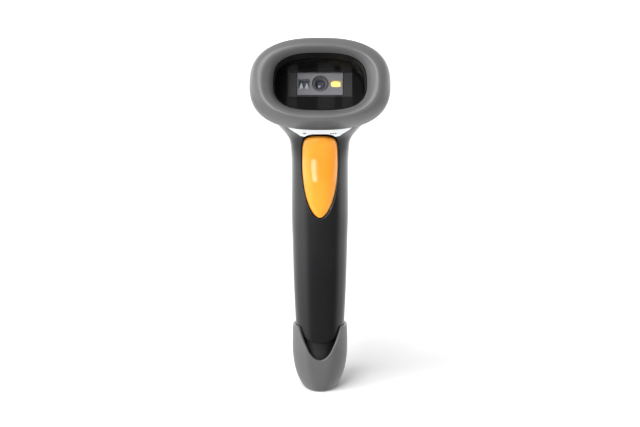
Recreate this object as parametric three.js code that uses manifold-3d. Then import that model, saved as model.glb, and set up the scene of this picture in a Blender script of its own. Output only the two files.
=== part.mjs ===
// Handheld barcode scanner: a tilted head on a pistol grip that stands on a rubber foot.
// Millimetres, +Z up, the scan window faces -Y. Head parts are drawn in the head's own frame
// (y along the scan axis, window at -y) and grip parts in the grip's own frame (z along the grip).
import * as THREE from "three";
import { mergeVertices } from "three/addons/utils/BufferGeometryUtils.js";
import Module from "manifold-3d";

const wasm = await Module();
wasm.setup();
const { Manifold, Mesh: SolidMesh } = wasm;

// ---------- driving dimensions ----------
const HEAD_TILT = 20; // degrees that the scan axis points above the horizon
const GRIP_LEAN = 5; // degrees that the grip leans back from the vertical
const HEAD_AT = [0, 7, 146]; // the head frame's origin, seen from the grip's base
const WALL = 2; // housing wall
const GAP = 0.3; // clearance between pieces that touch
const HEAD_POWER = 2.5; // roundness of the head's section; 2 is an ellipse, more is squarer

// The grip: half width, depth in front of and behind its axis, by height.
const gripWidth = profile([
  [20, 12.0], [35.5, 12.8], [50, 13.5], [65, 14], [77, 14.3], [90, 14.7],
  [118, 14.75], [124, 15.1], [128, 15.5], [130, 16], [132, 16.9], [134, 18], [136, 20], [139, 23.5],
]);
const gripFront = profile([
  [20, 14.6], [35, 15.6], [60, 16.4], [90, 17.2], [112, 17.8], [122, 18.8], [128, 20.4],
  [130, 21.5], [131.5, 23.5], [132.5, 26.2], [134.5, 32], [136.5, 38],
]);
const gripRear = profile([
  [20, 15.4], [35, 16.4], [55, 18.2], [75, 19], [95, 18.2], [112, 17.4], [124, 18.6], [132, 21.5],
  [139, 25],
]);
const gripPower = profile([[124, 2.4], [130, 2.9], [134, 4.5]]);
const GRIP_LEVELS = [18, 35, 50, 65, 80, 95, 110, 120, 126, 130, 131.5, 132.5, 134.5, 136.5, 139];

// The head: half width, height above and below its axis, by distance behind the head's origin.
const headWidth = profile([[-36, 31], [-20, 29.8], [-5, 25.5], [10, 21], [25, 18], [46, 15]]);
const headTop = profile([[-36, 18], [-20, 18.3], [-5, 17.9], [10, 16.8], [25, 15.2], [46, 12.4]]);
const headBottom = profile([
  [-36, 17.8], [-24, 17.8], [-12, 15.6], [0, 12.4], [10, 10.8], [20, 10], [46, 9],
]);
const HEAD_RIM = -32.2; // front edge of the housing, under the bumper
const BUMPER_REAR = -26.5; // rear edge of the bumper
const HEAD_END = 45; // rear end of the head
const HEAD_ROUND = 31; // length of the rounded rear end
const RIM_LOW = 24.3; // lower edge of the housing at the grip's centre line
const RIM_RISE = 0.042; // how fast that edge rises away from the centre line

// The trigger, in the grip's frame.
const PIVOT = { y: -11.5, z: 94.8, pin: 1.0, bore: 1.15, lug: 2.4, length: 16 };
const TRIGGER = { tip: 89.2, widest: 117.5, halfWidth: 9.1, skirt: -13.5, wall: 1.6 };
// How far it reaches forward, with a hollow for the finger, and its half width near the top.
const triggerFront = profile([
  [89.2, 17.4], [92, 18.4], [97, 20.2], [102, 21.5], [105.5, 22.1], [108, 22.2], [110.5, 21.8], [114, 21],
  [117, 20.6], [120, 20.5], [122.5, 21], [125, 22.2], [127, 23.3], [128.5, 23.8], [129.5, 23.7],
  [130.4, 23], [131, 21.8],
]);
const triggerCrown = profile([
  [117.5, 9.1], [122, 9.1], [125, 9], [127.5, 8.7], [129, 8.1], [130, 7.1], [130.7, 5.4], [131, 3.5],
]);
const SWITCH_Z = 110.5; // height of the switch that the trigger presses
const SPRING_Z = 121; // height of the trigger's return spring
const ENGINE = { z: 6.3, y: -19.5, halfWidth: 11.35, halfHeight: 5.95 };
const BATTERY = { radius: 9.2, bottom: 38.3, length: 65, y: 3 };
const BOARD_Z = -4.5; // top of the main board in the head's frame
const FLAP = { z: 14.9, y: 18.1, halfWidth: 6.3, height: 7.2 }; // the charging port's cover
const CARRIER_SCREW_AT = [10.6, 108];
const HOUSING_SCREW_AT = [10.6, 120];
const BOARD_SCREW_AT = [15.5, -14];
const ENGINE_SCREW_AT = [8, -12.5];
const END_SCREW_Z = 29.5;

// ---------- materials ----------
const material = (color, roughness, metalness = 0) =>
  new THREE.MeshStandardMaterial({ color, roughness, metalness });
const RUBBER = material(0x6f6f71, 0.75);
const GLOSS_BLACK = material(0x2a2a2c, 0.22);
const MATTE_BLACK = material(0x1c1c1d, 0.6);
const ORANGE = material(0xf7962a, 0.35);
const TINTED = material(0x101113, 0.05);
const LABEL = material(0xf3f4f5, 0.5);
const ENGINE_GREY = material(0x4b4c4e, 0.45);
const LENS_GLASS = material(0x2a2c44, 0.03);
const CLEAR = material(0xd8dde0, 0.05);
const LED_YELLOW = material(0xffd65c, 0.3);
const BOARD_GREEN = material(0x1d5b3a, 0.5);
const CHIP = material(0x222224, 0.5);
const STEEL = material(0xb5b7ba, 0.3, 1);
const SLEEVE = material(0x2f6fb0, 0.4);
const WIRE_RED = material(0xb8262a, 0.5);
const FOAM = material(0x121212, 0.95);

// ---------- helpers ----------
const rad = THREE.MathUtils.degToRad;

// A smooth curve through [x, value] pairs, level beyond its ends.
function profile(points) {
  const slope = (i) => {
    const a = points[Math.max(i - 1, 0)];
    const b = points[Math.min(i + 1, points.length - 1)];
    return (b[1] - a[1]) / (b[0] - a[0]);
  };
  return (x) => {
    if (x <= points[0][0]) return points[0][1];
    if (x >= points.at(-1)[0]) return points.at(-1)[1];
    const i = points.findIndex((p) => p[0] > x) - 1;
    const step = points[i + 1][0] - points[i][0];
    const t = (x - points[i][0]) / step;
    return (
      (1 + 2 * t) * (1 - t) ** 2 * points[i][1] + t * (1 - t) ** 2 * step * slope(i) +
      t * t * (3 - 2 * t) * points[i + 1][1] + t * t * (t - 1) * step * slope(i + 1)
    );
  };
}

// Points [u, v] of a closed superellipse, with its own height on each side of the u axis.
function oval(halfWidth, up, down, power, count = 40) {
  return Array.from({ length: count }, (_, i) => {
    const a = (2 * Math.PI * i) / count;
    const c = Math.cos(a);
    const s = Math.sin(a);
    const v = Math.sign(s) * Math.abs(s) ** (2 / power);
    return [Math.sign(c) * halfWidth * Math.abs(c) ** (2 / power), v * (s > 0 ? up : down)];
  });
}

// A skin over rings of equal point count: capped at both ends, or closed on itself.
function skin(rings, closed = false) {
  const n = rings[0].length;
  const positions = rings.flat(2);
  const index = [];
  const last = closed ? rings.length : rings.length - 1;
  for (let r = 0; r < last; r++) {
    for (let i = 0; i < n; i++) {
      const [a, b] = [r * n + i, r * n + ((i + 1) % n)];
      const s = ((r + 1) % rings.length) * n;
      const [c, d] = [s + i, s + ((i + 1) % n)];
      index.push(a, b, d, a, d, c);
    }
  }
  if (!closed) {
    for (const [r, flip] of [[0, true], [rings.length - 1, false]]) {
      const middle = positions.length / 3;
      const sum = [0, 1, 2].map((k) => rings[r].reduce((t, p) => t + p[k], 0) / n);
      positions.push(...sum);
      for (let i = 0; i < n; i++) {
        const [a, b] = [r * n + i, r * n + ((i + 1) % n)];
        index.push(...(flip ? [middle, b, a] : [middle, a, b]));
      }
    }
  }
  return new THREE.BufferGeometry()
    .setAttribute("position", new THREE.Float32BufferAttribute(positions, 3))
    .setIndex(index);
}

// A closed three.js geometry as a solid that can be joined and cut, turned face-out if need be.
function solid(geometry, matrix = new THREE.Matrix4()) {
  const plain = geometry.clone().applyMatrix4(matrix);
  plain.deleteAttribute("normal");
  plain.deleteAttribute("uv");
  const merged = mergeVertices(plain, 1e-4);
  const triVerts = new Uint32Array(merged.index.array);
  const vertProperties = new Float32Array(merged.attributes.position.array);
  const made = new Manifold(new SolidMesh({ numProp: 3, vertProperties, triVerts }));
  if (made.volume() > 0) return made;
  const turned = triVerts.map((_, i) => triVerts[i % 3 === 1 ? i + 1 : i % 3 === 2 ? i - 1 : i]);
  return new Manifold(new SolidMesh({ numProp: 3, vertProperties, triVerts: turned }));
}

function geometryOf(body) {
  const { vertProperties, triVerts, numProp } = body.getMesh();
  const positions = [];
  for (let i = 0; i < vertProperties.length; i += numProp) {
    positions.push(...vertProperties.subarray(i, i + 3));
  }
  return new THREE.BufferGeometry()
    .setAttribute("position", new THREE.Float32BufferAttribute(positions, 3))
    .setIndex([...triVerts]);
}

const at = (x, y, z) => new THREE.Matrix4().makeTranslation(x, y, z);
const join = (...parts) => parts.reduce((a, b) => a.add(b));
const cut = (body, ...tools) => tools.reduce((a, b) => a.subtract(b), body);

// A box between two corners.
function block([x0, y0, z0], [x1, y1, z1]) {
  const box = new THREE.BoxGeometry(x1 - x0, y1 - y0, z1 - z0);
  return solid(box, at((x0 + x1) / 2, (y0 + y1) / 2, (z0 + z1) / 2));
}

// A round bar from one end to the other along an axis, "x", "y" or "z".
function bar(axis, radius, from, to, [u, v] = [0, 0], sides = 16) {
  const turn = { x: new THREE.Matrix4().makeRotationZ(-Math.PI / 2), y: new THREE.Matrix4(),
    z: new THREE.Matrix4().makeRotationX(Math.PI / 2) }[axis];
  const middle = (from + to) / 2;
  const place = { x: at(middle, u, v), y: at(u, middle, v), z: at(u, v, middle) }[axis];
  return solid(new THREE.CylinderGeometry(radius, radius, to - from, sides), place.multiply(turn));
}

const vectors = (points) => points.map(([u, v]) => new THREE.Vector2(u, v));

// A flat outline of [u, v] points pushed along an axis, "x" (u, v = y, z), "y" (x, z) or "z" (x, y).
function plate(points, axis, from, to) {
  const shape = new THREE.Shape(vectors(points));
  const made = new THREE.ExtrudeGeometry(shape, { depth: to - from, bevelEnabled: false });
  const basis = {
    x: new THREE.Matrix4().set(0, 0, 1, from, 1, 0, 0, 0, 0, 1, 0, 0, 0, 0, 0, 1),
    y: new THREE.Matrix4().set(1, 0, 0, 0, 0, 0, -1, to, 0, 1, 0, 0, 0, 0, 0, 1),
    z: at(0, 0, from),
  }[axis];
  return solid(made, basis);
}

// A round section pushed along a smooth path.
function tube(points, radius, steps, sides = 8) {
  const path = new THREE.CatmullRomCurve3(points.map((p) => new THREE.Vector3(...p)));
  const shape = new THREE.Shape(vectors(oval(radius, radius, radius, 2, sides)));
  return solid(new THREE.ExtrudeGeometry(shape, { steps, extrudePath: path, bevelEnabled: false }));
}

// A pan-head screw along an axis: the head's flat top is at `head`, and the shank runs towards `end`.
function screw(axis, head, end, centre, { radius, cap, capHeight }) {
  const way = Math.sign(end - head);
  const under = head + way * capHeight;
  const span = (a, b) => [Math.min(a, b), Math.max(a, b)];
  const body = join(
    bar(axis, cap, ...span(head, under), centre, 14),
    bar(axis, radius, ...span(under - way * 0.2, end), centre, 8),
  );
  const slot = (wide, tall) => {
    const [u, v] = centre;
    const [lo, hi] = span(head - way * 0.2, head + way * 0.7);
    const corners = { x: [[lo, u - wide, v - tall], [hi, u + wide, v + tall]],
      y: [[u - wide, lo, v - tall], [u + wide, hi, v + tall]],
      z: [[u - wide, v - tall, lo], [u + wide, v + tall, hi]] }[axis];
    return block(...corners);
  };
  return cut(body, join(slot(cap * 0.62, 0.3), slot(0.3, cap * 0.62)));
}

// ---------- frames ----------
const scanner = new THREE.Group();
const head = new THREE.Group();
head.position.set(...HEAD_AT);
head.rotation.x = -rad(HEAD_TILT);
const grip = new THREE.Group();
grip.rotation.x = -rad(GRIP_LEAN);
scanner.add(head, grip);
scanner.updateMatrixWorld(true);
const headInGrip = grip.matrixWorld.clone().invert().multiply(head.matrixWorld);
const gripInHead = headInGrip.clone().invert();
const inGrip = (body) => body.transform(headInGrip.elements);
const inHead = (body) => body.transform(gripInHead.elements);
const belowFloor = block([-60, -60, -40], [60, 60, 0])
  .transform(grip.matrixWorld.clone().invert().elements);

function add(group, name, body, look) {
  const mesh = new THREE.Mesh(geometryOf(body), look);
  mesh.name = name;
  group.add(mesh);
}

// ---------- the body's outer form, drawn `inset` inside its surface ----------
const gripSection = (z, inset, count) =>
  oval(gripWidth(z) - inset, gripRear(z) - inset, gripFront(z) - inset, gripPower(z), count);

function gripForm(inset, levels = GRIP_LEVELS) {
  const count = inset < WALL ? 32 : 24;
  return solid(skin(levels.map((z) =>
    gripSection(z - 1.1 * inset, inset, count).map(([x, y]) => [x, y, z]))));
}

function headForm(inset, front = HEAD_RIM) {
  const count = inset < WALL ? 36 : 28;
  const start = HEAD_END - HEAD_ROUND;
  const shares = [0, 0.3, 0.55, 0.75, 0.9, 0.975, 1];
  const levels = [front, -20, -8, 4, ...shares.map((share) => start + (HEAD_ROUND - inset) * share)];
  return solid(skin(levels.map((y) => {
    const t = Math.max(0, (y - start) / (HEAD_ROUND - inset));
    const round = Math.max(0.06, Math.max(0, 1 - t ** 2.5) ** (1 / 2.2));
    return oval((headWidth(y) - inset) * round, (headTop(y) - inset) * round,
      (headBottom(y) - inset) * round, HEAD_POWER, count).map(([x, z]) => [x, y, z]);
  })));
}

const aheadOfChin = inGrip(block([-60, -90, -60], [60, BUMPER_REAR + GAP, 60]));
const bodyForm = (inset, front) => cut(gripForm(inset), aheadOfChin).add(inGrip(headForm(inset, front)));

// ---------- the two housing shells ----------
// The seam in side view: along the head's side, then down the grip's side.
function seamShape(shift) {
  const fromHead = (y, z) => {
    const p = new THREE.Vector3(0, y, z).applyMatrix4(headInGrip);
    return new THREE.Vector2(p.y, p.z);
  };
  const seam = new THREE.Shape();
  const start = fromHead(-60, 1 + shift);
  seam.moveTo(start.x, start.y);
  const turn = fromHead(-12, 1 + shift);
  seam.lineTo(turn.x, turn.y);
  const pull = fromHead(2, 1 + shift);
  seam.bezierCurveTo(pull.x, pull.y, 1.5 + shift, 137, 1.5 + shift, 112);
  seam.lineTo(1.5 + shift, 0);
  seam.lineTo(-80, 0);
  return seam.getPoints(8).map((p) => [p.x, p.y]);
}

// Everything below the housing's curved lower edge.
function belowRim(raise) {
  const edge = Array.from({ length: 15 }, (_, i) => {
    const x = -21 + 3 * i;
    return [x, RIM_LOW + raise + Math.min(RIM_RISE * x * x, 10)];
  });
  return plate([[-21, 0], ...edge, [21, 0]], "y", -40, 40);
}

// Half the trigger's width: a half ellipse below its widest level, the crown above it.
function triggerHalf(z) {
  if (z > TRIGGER.widest) return triggerCrown(z);
  const lower = Math.min(1, (TRIGGER.widest - z) / (TRIGGER.widest - TRIGGER.tip + 0.1));
  return TRIGGER.halfWidth * Math.sqrt(1 - lower ** 2);
}

// The trigger's outline from the front, grown by a margin that is wider over its top, where it swings.
function triggerOutline(grow) {
  const steps = 12;
  const side = Array.from({ length: steps + 1 }, (_, i) => {
    const a = (Math.PI / 2) * (i / steps);
    const z = TRIGGER.widest - (TRIGGER.widest - TRIGGER.tip + grow) * Math.cos(a);
    return [(TRIGGER.halfWidth + grow) * Math.sin(a), z];
  });
  const crown = [125, 127.5, 129, 130, 130.7].map((z) => [triggerCrown(z) + grow, z + 1.8 * grow]);
  const right = [...side, ...crown];
  return [...right, ...right.slice(1).reverse().map(([x, z]) => [-x, z])];
}

const outer = cut(bodyForm(0, HEAD_RIM), belowRim(0));
const hollow = bodyForm(WALL, -50);
const housing = cut(outer, hollow);
const frontRegion = (shift) => plate(seamShape(shift), "x", -60, 60);
const labelOutline = (grow) => [
  [-19.5 - grow, -26.1 - grow], [19.5 + grow, -26.1 - grow],
  [9.9 + grow, -11 + grow], [-9.9 - grow, -11 + grow],
];
const labelPrism = (grow) => cut(inGrip(plate(labelOutline(grow), "z", -30, -12)),
  plate(triggerOutline(0.7 - grow), "y", -60, -9));
const mirrorX = (make) => join(make(-1), make(1));
const placed = (side, [x, v]) => [side * x, v];

function frontShell() {
  const shell = housing.intersect(frontRegion(-GAP / 2));
  const inside = bodyForm(1, -34);
  // Ears for the trigger's pin, posts for the switch carrier and screw bosses on the side walls.
  const ears = mirrorX((s) => {
    const [x0, x1] = s < 0 ? [-8.8, -6.3] : [6.3, 8.8];
    return cut(
      join(bar("x", 2.6, x0, x1, [PIVOT.y, PIVOT.z]),
        block([x0, -15.5, PIVOT.z - 2.6], [x1, PIVOT.y, PIVOT.z + 2.6])),
      bar("x", PIVOT.pin + GAP, x0 - 1, x1 + 1, [PIVOT.y, PIVOT.z]));
  });
  const posts = mirrorX((s) => {
    const centre = placed(s, CARRIER_SCREW_AT);
    const rib = block([s * 11.6 - 1.4, -9, 107], [s * 11.6 + 1.4, -4.9, 109]);
    return cut(join(bar("y", 2, -10, -4.9, centre), rib), bar("y", 1.25, -8.2, -3, centre));
  });
  const bosses = mirrorX((s) => {
    const centre = placed(s, HOUSING_SCREW_AT);
    const rib = block([s * 11.8 - 1.6, -8, 119], [s * 11.8 + 1.6, 1.1, 121]);
    return cut(join(bar("y", 2.4, -8, 1.1, centre), rib), bar("y", 1.4, -5, 3, centre));
  });
  const boardPosts = inGrip(mirrorX((s) => {
    const centre = placed(s, BOARD_SCREW_AT);
    return cut(bar("z", 2.2, -17, BOARD_Z - 1.5, centre), bar("z", 1.25, BOARD_Z - 5, 0, centre));
  }));
  const fittings = join(ears, posts, bosses, boardPosts).intersect(inside);
  const opening = plate(triggerOutline(0.55), "y", -60, -9);
  const labelSeat = cut(labelPrism(GAP), bodyForm(0.35 + GAP, -50).translate([0, 0, 0.3]));
  return cut(shell.add(fittings), opening, labelSeat);
}

const lensOutline = (grow) => oval(6.2 + grow, 1.8 + grow, 1.8 + grow, 3, 24)
  .map(([x, y]) => [x, y + 25]);

function rearShell() {
  const shell = cut(housing, frontRegion(GAP / 2));
  const inside = bodyForm(1, -34);
  const bosses = mirrorX((s) => join(
    bar("y", 2.4, 1.7, 16, placed(s, HOUSING_SCREW_AT)),
    block([s * 11.8 - 1.6, 1.9, 119], [s * 11.8 + 1.6, 14, 121])));
  const bores = mirrorX((s) => join(
    bar("y", 1.4, 0, 12, placed(s, HOUSING_SCREW_AT)),
    bar("y", 2.6, 8.6, 30, placed(s, HOUSING_SCREW_AT))));
  const endHole = join(bar("y", 1.4, 8, 20, [0, END_SCREW_Z]), bar("y", 2.6, 14.7, 30, [0, END_SCREW_Z]));
  const lensHole = inGrip(plate(lensOutline(GAP), "z", 8, 30));
  const soundHoles = inGrip(join(
    ...[-4, -2, 0, 2, 4].map((x) => bar("z", 0.7, 5, 30, [x, 33 - 0.06 * x * x], 8))));
  return cut(shell.add(bosses.intersect(inside)), bores, endHole, lensHole, soundHoles);
}

// ---------- head pieces ----------
// Rings of the rubber bumper: y, half width, top, bottom, roundness. It wraps the housing's front edge.
function frontBumper() {
  const rings = [
    [BUMPER_REAR, 32.6, 20.6, 19.2, 2.5], [-27.6, 33.4, 21.8, 20, 2.5], [-32, 34.1, 23, 20.6, 2.5],
    [-37, 34.2, 23.4, 20.9, 2.5], [-40.5, 33.8, 23, 20.8, 2.5], [-43.5, 32.5, 21.5, 20.4, 2.5],
    [-45.4, 30.8, 19.4, 19.9, 2.5], [-46.2, 28.9, 17.8, 19, 2.5], [-46.1, 27.2, 16.7, 17.9, 2.52],
    [-45.2, 25.5, 16, 16.6, 2.6], [-43.7, 24, 15.4, 15.2, 2.7], [-41.6, 22.8, 15, 14, 2.85],
    [-39.4, 22.3, 14.9, 13.6, 2.9], [-34.7, 22.2, 14.6, 13.8, 2.9], [-34.7, 31.3, 18.4, 18.2, 2.5],
    [BUMPER_REAR, 31.2, 18.6, 18.2, 2.5],
  ];
  return solid(skin(rings.map(([y, w, up, down, power]) =>
    oval(w, up, down, power, 40).map(([x, z]) => [x, y, z])), true));
}

const ovalPlate = (w, h, power, from, to) => plate(oval(w, h, h, power, 36), "y", from, to);
const scanWindow = () => ovalPlate(26, 16.4, 2.8, -34.4, -32.6);
const windowGasket = () =>
  cut(ovalPlate(25.4, 15.1, 2.6, -32.3, -31.5), ovalPlate(24, 14.3, 2.9, -34, -30));

// The black funnel behind the window, with a slot that the engine looks through.
function windowFrame() {
  const body = solid(skin([[-31.2, 28.6, 15.7], [-21, 28.2, 15.7]].map(([y, w, h]) =>
    oval(w, h, h, HEAD_POWER, 40).map(([x, z]) => [x, y, z]))));
  const funnel = solid(skin([[-33, 24.4, 14.5], [-22.6, 21.5, 13.4]].map(([y, w, h]) =>
    oval(w, h, h, 2.9, 40).map(([x, z]) => [x, y, z]))));
  const slot = block([-16, -30, ENGINE.z - 7.8], [16, -10, ENGINE.z + 5.2]);
  return cut(body.intersect(headForm(WALL + GAP, -45)), funnel, slot);
}

function engineBracket() {
  const { z } = ENGINE;
  const face = cut(block([-16.8, -20.6, z - 8.2], [16.8, -19.4, z + 7.2]),
    block([-11.7, -22, z - 6.3], [11.7, -15, z + 6.3]));
  const shelf = block([-13.3, -19.6, z - 8.2], [13.3, -6, z - 7]);
  const cheeks = mirrorX((s) => block([s * 12.7 - 0.6, -19.6, z - 8.2], [s * 12.7 + 0.6, -6, z + 5]));
  const holes = mirrorX((s) => bar("z", 1.1, z - 9, z - 6, placed(s, ENGINE_SCREW_AT), 10));
  return cut(join(face, shelf, cheeks), holes);
}

function enginePlate() {
  const { y, z, halfWidth, halfHeight } = ENGINE;
  return cut(block([-halfWidth, y, z - halfHeight], [halfWidth, y + 1, z + halfHeight]),
    block([-10.9, y - 1, z - 2.65], [-5.3, y + 2, z + 2.25]),
    bar("y", 4.15, y - 1, y + 2, CAMERA_AT, 28),
    plate(oval(2.95, 1.75, 1.75, 3.2, 20).map(([u, v]) => [u + 8.2, v + z - 0.2]), "y", y - 1, y + 2));
}

function engineHousing() {
  const { z } = ENGINE;
  return cut(block([-11, -18.2, z - 5.7], [11, -9, z + 5.7]),
    block([-10.6, -19, z - 2.6], [-5.2, -14, z + 2.2]),
    bar("y", 4.15, -19, -11, CAMERA_AT, 28),
    block([5, -19, z - 2.2], [10.6, -14, z + 1.8]),
    mirrorX((s) => bar("z", 1.2, z - 6, z - 3.6, placed(s, ENGINE_SCREW_AT), 10)));
}

const CAMERA_AT = [0.2, ENGINE.z - 0.1];
const cameraBarrel = () => cut(bar("y", 3.8, -19.2, -11.4, CAMERA_AT, 28),
  bar("y", 3.1, -20, -18.2, CAMERA_AT, 28), bar("y", 2.4, -20, -13.5, CAMERA_AT, 28));
const cameraLens = () =>
  solid(new THREE.SphereGeometry(3.4, 28, 16), at(CAMERA_AT[0], -14.2, CAMERA_AT[1]))
    .intersect(bar("y", 2.1, -18.2, -15.2, CAMERA_AT, 24));

// The aiming optic is a clear block with a ridged front.
function aimerLens() {
  const { z } = ENGINE;
  const ridges = [
    [-10.3, -14.6], [-10.3, -17.6], [-9.2, -18.9], [-8, -17.2], [-6.8, -18.9], [-5.7, -17.6], [-5.7, -14.6],
  ];
  return plate(ridges, "z", z - 2.2, z + 1.8);
}

const lightLens = () => plate(
  oval(2.4, 1.3, 1.3, 3, 20).map(([u, v]) => [u + 7.9, v + ENGINE.z - 0.2]), "y", -18.9, -14.6);

const engineBoard = () => {
  const { z } = ENGINE;
  return join(block([-11, -8.7, z - 5.8], [11, -7.7, z + 5.8]),
    block([-6, -7.8, z - 5.4], [6, -6.4, z - 2.4]));
};

// A flat cable that leaves the engine's connector and folds down to the main board.
function engineCable() {
  const { z } = ENGINE;
  const path = [
    [-6.1, z - 3.8], [-2, z - 4.2], [1.6, z - 6.6], [1.2, BOARD_Z + 1.6], [-3, BOARD_Z + 0.8],
  ];
  const line = new THREE.CatmullRomCurve3(path.map(([y, height]) => new THREE.Vector3(0, y, height)));
  const centre = line.getPoints(14);
  const half = 0.14;
  const side = (sign) => centre.map((p, i) => {
    const t = line.getTangent(i / 14);
    return [p.y - sign * t.z * half, p.z + sign * t.y * half];
  });
  return plate([...side(1), ...side(-1).reverse()], "x", -4, 4);
}

function mainBoard() {
  const outline = [[-19, -18], [19, -18], [19, -6], [9.6, 24], [-9.6, 24], [-19, -6]];
  const board = plate(outline, "z", BOARD_Z - 1.2, BOARD_Z);
  const holes = mirrorX((s) => bar("z", 1.3, BOARD_Z - 3, BOARD_Z + 2, placed(s, BOARD_SCREW_AT), 12));
  const sockets = join(block([-5, -7.6, BOARD_Z - 0.1], [5, -4, BOARD_Z + 1.6]),
    block([-12.5, 10.5, BOARD_Z - 0.1], [-8, 14.5, BOARD_Z + 3]));
  return cut(join(board, sockets), holes);
}

const processorChip = () => block([4.6, -1, BOARD_Z + GAP], [13.6, 8, BOARD_Z + 1.5]);
const radioModule = () => join(block([-14.5, -4, BOARD_Z + GAP], [-5, 9, BOARD_Z + 1.1]),
  block([-13.7, -3.2, BOARD_Z + 1], [-6, 5, BOARD_Z + 2.6]));
const sounder = () => cut(bar("z", 6, BOARD_Z + GAP, BOARD_Z + 5.5, [0, 15.8], 28),
  bar("z", 1.1, BOARD_Z + 3, BOARD_Z + 7, [0, 15.8], 12));

// The status light: a lens flush with the top of the head, with a stem that carries light to it.
function statusLens() {
  const lens = inHead(cut(bodyForm(0.05, -30), bodyForm(WALL + 0.6, -30)))
    .intersect(plate(lensOutline(0), "z", 4, 30));
  return lens.add(bar("z", 1.5, BOARD_Z + 1.6, headTop(25) - 2.4, [0, 24.2], 16));
}

function ratingLabel() {
  const sheet = cut(bodyForm(0, HEAD_RIM), bodyForm(0.35, -50));
  return sheet.intersect(labelPrism(0));
}

// ---------- trigger group ----------
function triggerRings(inset, levels, back) {
  return levels.map((z) => {
    const w = Math.max(0.35, triggerHalf(z) - inset);
    const front = inset * 1.1 - triggerFront(z);
    const count = 12;
    const power = 2 / 2.6;
    const arc = Array.from({ length: count + 1 }, (_, i) => {
      const a = Math.PI * (1 - i / count);
      const x = Math.sign(Math.cos(a)) * w * Math.abs(Math.cos(a)) ** power;
      return [x, TRIGGER.skirt + (front - TRIGGER.skirt) * Math.sin(a) ** power, z];
    });
    return [...arc, [w, back, z], [-w, back, z]];
  });
}

function trigger() {
  const levels = [89.2, 89.7, 91, 93.5, 97, 101, 105, 108, 110.5, 114, 117.5, 121, 124, 126.5, 128.5,
    129.7, 130.5, 131];
  const cap = solid(skin(triggerRings(0, levels, -13.2)));
  const pocket = solid(skin(triggerRings(TRIGGER.wall, levels.slice(4, 15), -12)));
  const solidFoot = block([-9, -40, 80], [9, 0, 98.2]);
  const shell = cut(cap, cut(pocket, solidFoot));
  const web = block([-3.2, -17, PIVOT.z - 2.2], [3.2, PIVOT.y, PIVOT.z + 2.2]);
  const lug = bar("x", PIVOT.lug, -3.2, 3.2, [PIVOT.y, PIVOT.z]);
  const presser = block([-1.4, -20.8, SWITCH_Z - 1.4], [1.4, -11.2, SWITCH_Z + 1.4]);
  const springPost = bar("y", 1.1, -19.6, -16, [0, SPRING_Z], 12);
  return cut(join(shell, web, lug, presser, springPost),
    bar("x", PIVOT.bore, -10, 10, [PIVOT.y, PIVOT.z], 20));
}

const triggerPin = () =>
  bar("x", PIVOT.pin, -PIVOT.length / 2, PIVOT.length / 2, [PIVOT.y, PIVOT.z], 20);

// A coil spring around the trigger's post, from the trigger to the carrier's cup.
function triggerSpring() {
  const turns = 5;
  const [from, to] = [-18.2, -12.4];
  const points = Array.from({ length: turns * 10 + 1 }, (_, i) => {
    const a = (2 * Math.PI * i) / 10;
    return [1.95 * Math.cos(a), from + ((to - from) * i) / (turns * 10), SPRING_Z + 1.95 * Math.sin(a)];
  });
  return tube(points, 0.25, turns * 10, 5);
}

function tactSwitch() {
  const z = SWITCH_Z;
  return cut(block([-3, -9.4, z - 3], [3, -6.2, z + 3]), bar("y", 2, -10, -7.6, [0, z], 20));
}
const switchPlunger = () => bar("y", 1.7, -10.9, -8.6, [0, SWITCH_Z], 20);
const triggerBoard = () => block([-6.5, -5.9, SWITCH_Z - 4.8], [6.5, -4.9, SWITCH_Z + 6]);

function switchCarrier() {
  const panel = block([-8.2, -4.6, 105.4], [8.2, -3.2, 125]);
  const arms = block([-12, -4.6, 106.2], [12, -3.2, 109.8]);
  const cup = cut(bar("y", 3, -12, -4, [0, SPRING_Z], 20), bar("y", 0.9, -13, -9, [0, SPRING_Z], 12));
  const holes = mirrorX((s) => bar("y", 1.2, -6, 0, placed(s, CARRIER_SCREW_AT), 12));
  return cut(join(panel, arms, cup), holes).intersect(bodyForm(WALL + GAP, -34));
}

// ---------- grip pieces ----------
function batteryCell() {
  const { radius, bottom, length, y } = BATTERY;
  const outline = vectors([
    [0, 0], [radius - 0.5, 0], [radius, 0.5], [radius, length - 2.4], [radius - 0.5, length - 1.9],
    [3, length - 1.9], [3, length], [0, length],
  ]);
  const upright = new THREE.Matrix4().makeRotationX(Math.PI / 2);
  return solid(new THREE.LatheGeometry(outline, 28), at(0, y, bottom).multiply(upright));
}

function batteryCradle() {
  const { radius, bottom, length, y } = BATTERY;
  const [low, high] = [bottom - 1.2, bottom + length + 1.2];
  const trough = cut(bar("z", radius + 1.15, low, high, [0, y], 32),
    bar("z", radius + GAP, bottom - GAP, bottom + length + GAP, [0, y], 32),
    block([-20, -20, 0], [20, y - 2, 140]),
    block([-3.8, -20, bottom + length - 1], [3.8, y + 6, 140]));
  return trough.intersect(bodyForm(WALL + GAP, -34));
}

// Leads from the cell to the board in the head, and from the charging board past the cell.
const alongHead = (x, y, z) => new THREE.Vector3(x, y, z).applyMatrix4(headInGrip).toArray();
const cellTop = BATTERY.bottom + BATTERY.length;
const batteryLead = (x) => tube([
  [x, 3, cellTop + 0.6], [x, 4.5, 110], [x * 1.4, 5, 118], [x * 1.6, 5, 126],
  alongHead(x * 1.6, 17, BOARD_Z - 2.3),
], 0.6, 16, 6);
const chargeCable = () => tube([
  [4.2, -6.4, 19.4], [4.4, -8.2, 27], [5.4, -9, 38], [8.6, -6, 52], [9.2, -5.6, 70], [9.2, -5.4, 96],
  [7.4, -0.4, 106.5], [6.4, 1.2, 116], [7, 2, 126], alongHead(10.2, 12, BOARD_Z - 2.4),
], 0.75, 26, 6);

// A section inside the grip's wall that narrows towards the sole.
const taperedSection = (z, inset) =>
  gripSection(z, inset + Math.max(0, (12 - z) * 0.24), 24).map(([x, y]) => [x, y, z]);

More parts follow.
